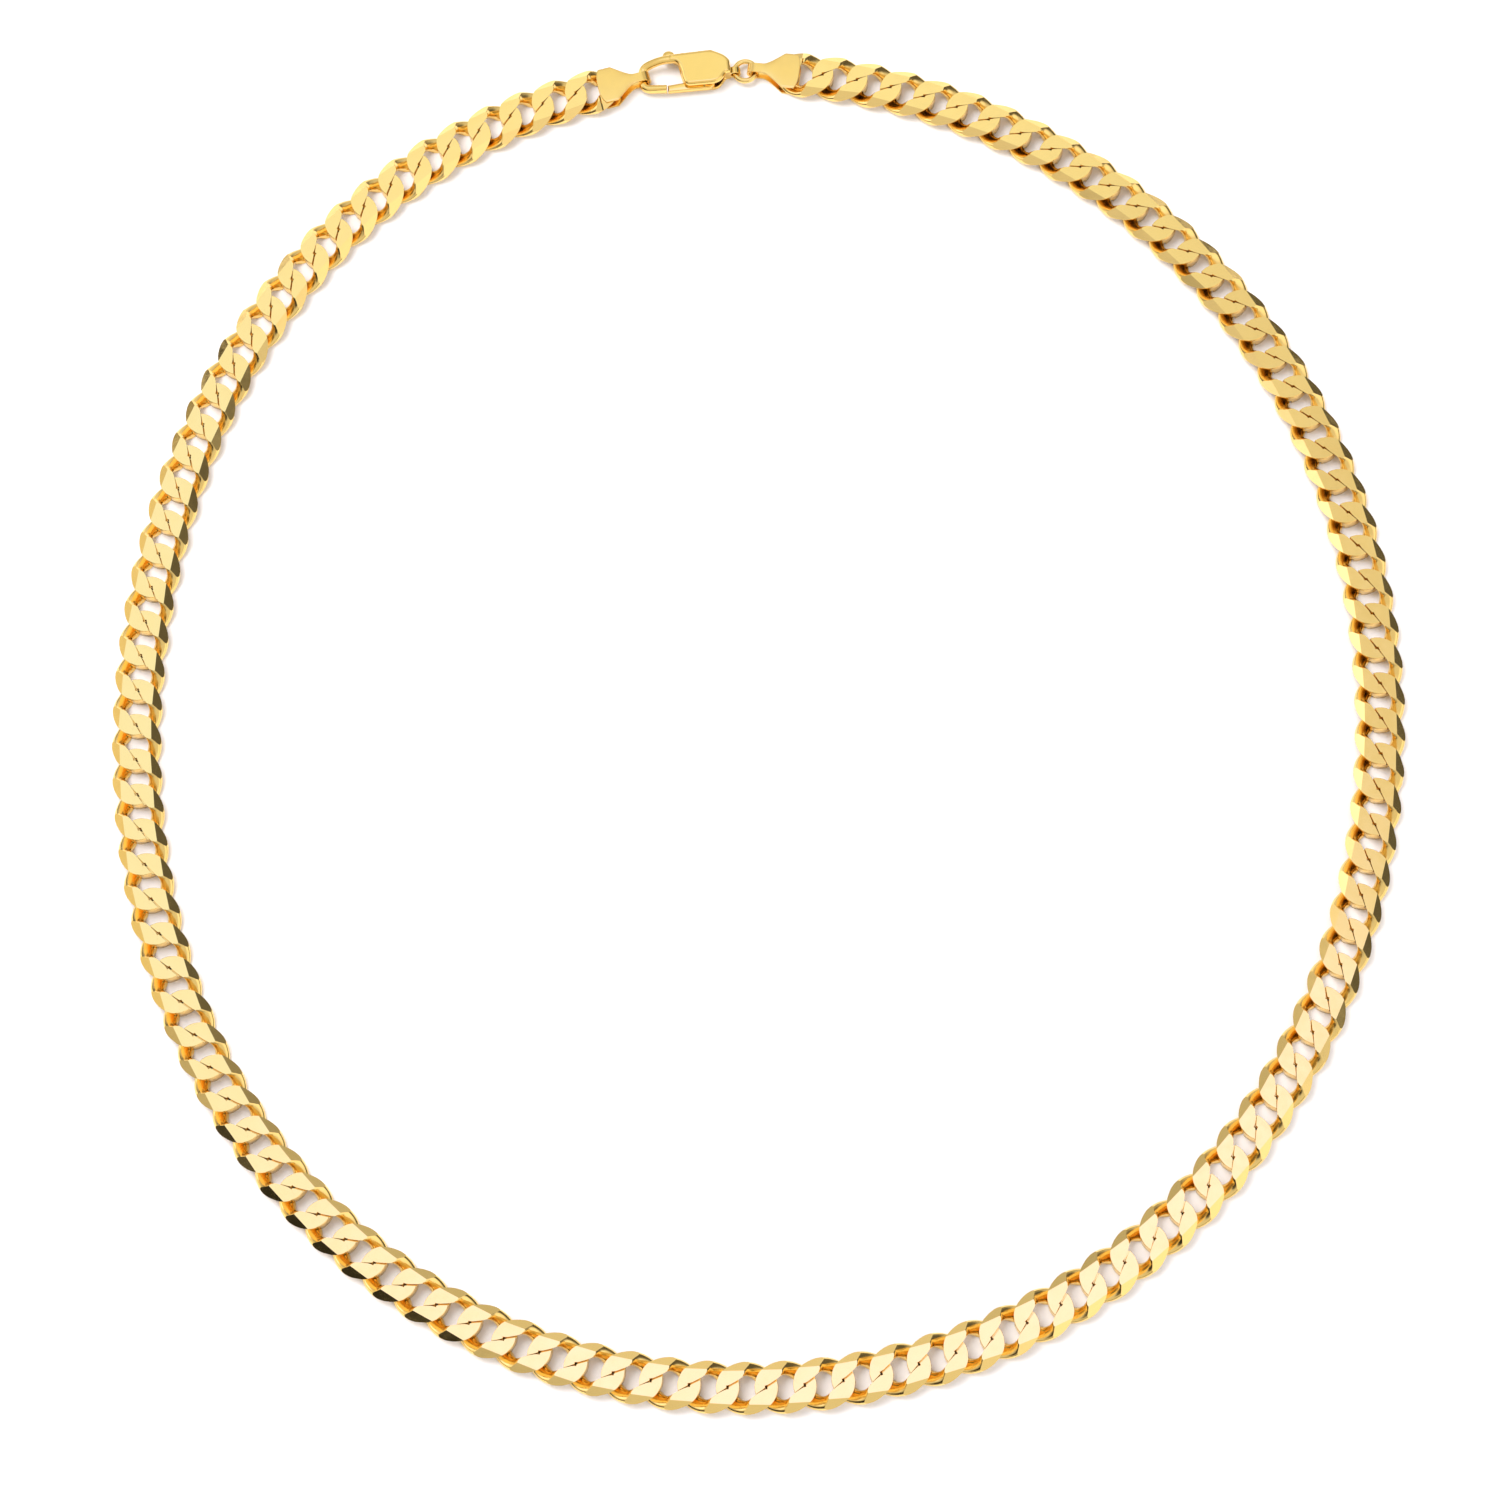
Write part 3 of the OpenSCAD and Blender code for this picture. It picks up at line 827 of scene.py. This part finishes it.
def makeClaspBody(place, castGold):
    low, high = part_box("clasp_body")
    ringLow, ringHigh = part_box("jump_ring")
    top, midZ = (high.z - low.z) / mm, (ringLow.z + ringHigh.z) / 2 / mm
    bm = bmesh.new()
    top -= claspShape["margin"]
    addSlab(bm, paddle, top - claspShape["paddleDepth"], top, edge=0.42, steps=6)
    addSlab(bm, underPlate, claspShape["margin"], claspShape["plate"], edge=0.15)
    addSlab(bm, tailBlock, 0.1, top - 0.1, edge=0.05)
    addSlab(bm, backWall, 1.3, top - 0.1, edge=0.05)
    addBar(bm, hookRoute)
    addTailEye(bm, midZ)
    bmesh.ops.transform(bm, matrix=place, verts=bm.verts[:])
    piece = showPiece("claspBody", finishMesh(bm, "claspBody"), bodyOf("clasp_body"), "clasp_body",
                      "clasp_gold", castGold)
    fuse(piece, claspShape["voxel"], claspShape["smooth"])
    print("clasp body made:", len(piece.data.polygons), "faces")


gateShape = {"low": 0.58, "high": 1.35, "armHigh": 1.18, "knob": 0.82, "knobHigh": 1.23}
gateArm = [(2.6, -1.5, 0.3), (3.2, -2.12, 0.3), (8.71, -2.2, 0.1), (8.71, -1.3, 0.1), (4.3, -0.9, 0.3),
           (3.9, -0.2, 0.3), (2.8, -0.2, 0.3)]
knobArm = [(3.3, -0.6, 0.0), (4.0, -0.6, 0.0), (7.6, 1.9, 0.3), (8.4, 2.4, 0.0), (8.0, 3.1, 0.0),
           (6.8, 2.3, 0.3)]
knobAt = (8.35, 2.9)


def makeGate(place, castGold):
    shape = gateShape
    bm = bmesh.new()
    addSlab(bm, gateArm, shape["low"], shape["high"], edge=0.14)
    addSlab(bm, knobArm, shape["low"], shape["armHigh"], edge=0.1)
    # domed thumb knob
    rings = []
    for radius, z in ((0.55, 0), (0.92, 0), (1, 0.08), (1, 0.6), (0.96, 0.8), (0.8, 0.93), (0.45, 0.99),
                      (0.12, 1.0)):
        height = shape["low"] + z * (shape["knobHigh"] - shape["low"])
        rings.append([(knobAt[0] + shape["knob"] * radius * math.cos(2 * math.pi * k / 40),
                       knobAt[1] + shape["knob"] * radius * math.sin(2 * math.pi * k / 40), height)
                      for k in range(40)])
    addRings(bm, rings, closed=False, capped=True)
    bmesh.ops.transform(bm, matrix=place, verts=bm.verts[:])
    mesh = finishMesh(bm, "thumbGate", sharp=50)
    showPiece("thumbGate", mesh, bodyOf("clasp_gate"), "clasp_gate", "clasp_gold", castGold)


def main():
    setCamera()
    paintSky()
    hangLamps()
    layFloor()
    finishes = {name: metal(name, look) for name, look in golds.items()}
    springSteel = metal("springSteel", steel)
    makeChain(finishes["wireGold"], finishes["lappedGold"])
    makeCap("right", finishes["sheetGold"])
    leftCap = makeCap("left", finishes["sheetGold"])
    ringMiddle = makeRing(finishes["wireGold"])
    print("caps and ring made")
    place = claspPlace(ringMiddle, leftCap["eye"])
    makeClaspBody(place, finishes["castGold"])
    makeGate(place, finishes["castGold"])
    for node, material in (("clasp_pin", finishes["castGold"]), ("clasp_spring", springSteel)):
        frame["nodes"][node].data.materials.clear()
        frame["nodes"][node].data.materials.append(material)
    print("clasp made")
    bpy.context.scene.view_settings.view_transform = "Standard"


main()
